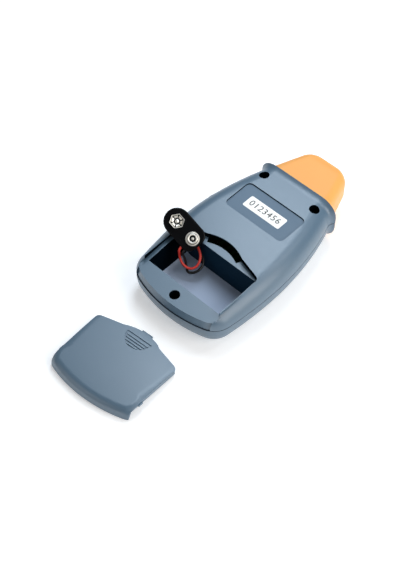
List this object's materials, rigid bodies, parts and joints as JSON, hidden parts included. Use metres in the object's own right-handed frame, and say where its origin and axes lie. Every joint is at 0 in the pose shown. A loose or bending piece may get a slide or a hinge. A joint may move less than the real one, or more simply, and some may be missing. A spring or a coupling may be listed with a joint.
{
  "type": "laser tachometer",
  "caption": "Hand-held laser tachometer lying face down: moulded case with orange nose hood, open 9 V battery bay with snap leads, and its battery cover taken off beside it.",
  "frame": {"origin": "on the front face that the instrument lies on, midway along its length and in its plane of symmetry", "axes": "+Y towards the nose hood, +Z out of the back, +X to the right when looking at the back with the nose up"},
  "size_m": [0.0703, 0.1972, 0.0376],
  "materials": {
    "case": "fine-textured moulded plastic, satin",
    "hood": "moulded plastic, satin",
    "label": "white sticker, satin",
    "window": "clear moulded window",
    "lcd": "liquid-crystal cell",
    "black_plastic": "black moulded plastic",
    "zebra": "layered rubber strip",
    "board": "green solder mask",
    "sleeve": "shrink sleeve",
    "key": "moulded rubber key",
    "switch": "switch body",
    "lens": "clear lens",
    "brass": "turned brass",
    "filter": "dark red filter",
    "steel": "plated steel",
    "nickel": "nickel-plated brass",
    "vinyl": "soft black vinyl",
    "red_wire": "wire insulation",
    "black_wire": "wire insulation"
  },
  "bodies": {
    "case": {"rear_case": "case", "front_case": "case", "nose_hood": "hood", "battery_cover": "case", "serial_label": "label", "display_window": "window", "lcd_glass": "lcd", "lcd_bezel": "black_plastic", "zebra_strips": "zebra", "circuit_board": "board", "chip_blob": "black_plastic", "crystal": "steel", "capacitor": "sleeve", "mem_switch": "switch", "test_switch": "switch", "optic_block": "black_plastic", "receiver_lens": "lens", "laser_module": "brass", "photodiode": "black_plastic", "filter_window": "filter", "case_screws": "steel", "board_screws": "steel", "snap_pad": "vinyl", "snap_socket": "nickel", "snap_stud": "nickel", "red_lead": "red_wire", "black_lead": "black_wire"},
    "memory_key": {"mem_button": "key", "mem_plunger": "black_plastic"},
    "measuring_key": {"test_button": "key", "test_plunger": "black_plastic"}
  },
  "joints": [
    {"name": "memory_press", "type": "slide", "parent": "case", "child": "memory_key", "axis": [0, 0, 1], "range_m": [0, 0.0006], "stiffness_N_per_m": 2500},
    {"name": "measuring_press", "type": "slide", "parent": "case", "child": "measuring_key", "axis": [1, 0, 0], "range_m": [0, 0.0006], "stiffness_N_per_m": 2500}
  ]
}
